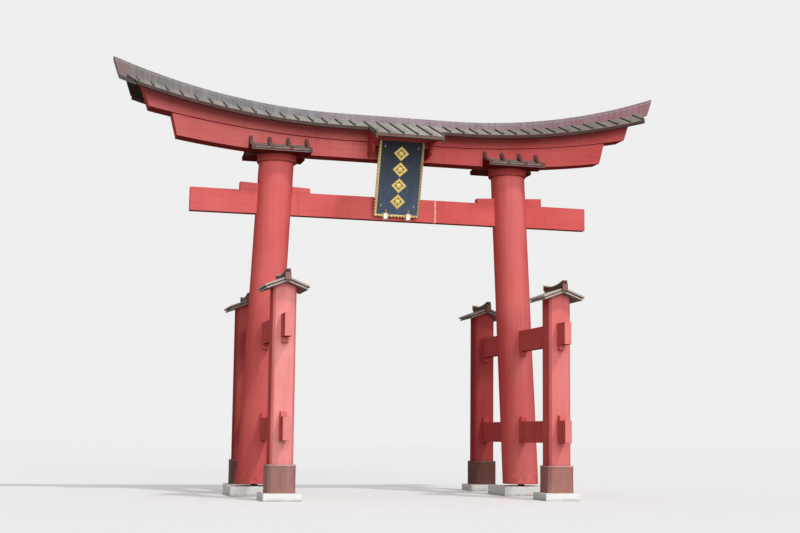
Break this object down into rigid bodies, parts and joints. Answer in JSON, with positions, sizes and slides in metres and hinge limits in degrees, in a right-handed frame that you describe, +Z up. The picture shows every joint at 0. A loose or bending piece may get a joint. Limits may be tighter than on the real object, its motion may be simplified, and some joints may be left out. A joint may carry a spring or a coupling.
{
  "type": "torii gate",
  "caption": "Tall red timber shrine gate with leaning round pillars, braced square sub-pillars, an upswept double lintel, sheet copper roofs and a tilted plaque.",
  "frame": {"origin": "on the ground, midway between the two main pillars, in the middle plane of the gate", "axes": "+X along the gate to the viewer's right, -Y towards the front with the plaque, +Z up"},
  "size_m": [15.14, 7.439, 11.1989],
  "materials": {
    "red_paint": "satin vermilion paint, slightly faded",
    "sheet_copper": "weathered grey-green sheet copper",
    "ridge_copper": "weathered grey-lilac sheet copper",
    "dark_copper": "dull brown sheet copper",
    "pale_stone": "dressed pale granite",
    "dark_iron": "dull, almost black",
    "gilt_metal": "gilded, softly polished",
    "dark_lacquer": "dark blue-black lacquer"
  },
  "bodies": {
    "root": {"main_stones": "pale_stone", "sub_stones": "pale_stone", "pillar_dowels": "dark_iron", "main_pillar_left": "red_paint", "main_pillar_right": "red_paint", "sub_pillar_front_left": "red_paint", "sub_pillar_front_right": "red_paint", "sub_pillar_rear_left": "red_paint", "sub_pillar_rear_right": "red_paint", "base_sheaths": "dark_copper", "lower_brace_left": "red_paint", "lower_brace_right": "red_paint", "upper_brace_left": "red_paint", "upper_brace_right": "red_paint", "lower_brace_wedges": "red_paint", "upper_brace_wedges": "red_paint", "cap_roofs": "sheet_copper", "cap_ridges": "ridge_copper", "tie_beam_long": "red_paint", "tie_beam_short": "red_paint", "tie_wedges": "red_paint", "centre_strut": "red_paint", "capital_rings": "red_paint", "lower_lintel": "red_paint", "upper_lintel": "red_paint", "ring_hoods_front": "sheet_copper", "ring_hoods_rear": "sheet_copper", "roof_front": "sheet_copper", "roof_rear": "sheet_copper", "eave_board_front": "dark_copper", "eave_board_rear": "dark_copper", "ridge_box": "ridge_copper", "plaque_roof": "sheet_copper", "plaque_roof_board": "dark_copper", "plaque_cheeks": "red_paint", "plaque_rail": "red_paint", "plaque_board": "dark_lacquer", "plaque_frame": "gilt_metal", "plaque_fittings": "gilt_metal", "plaque_supports": "gilt_metal"}
  },
  "joints": []
}
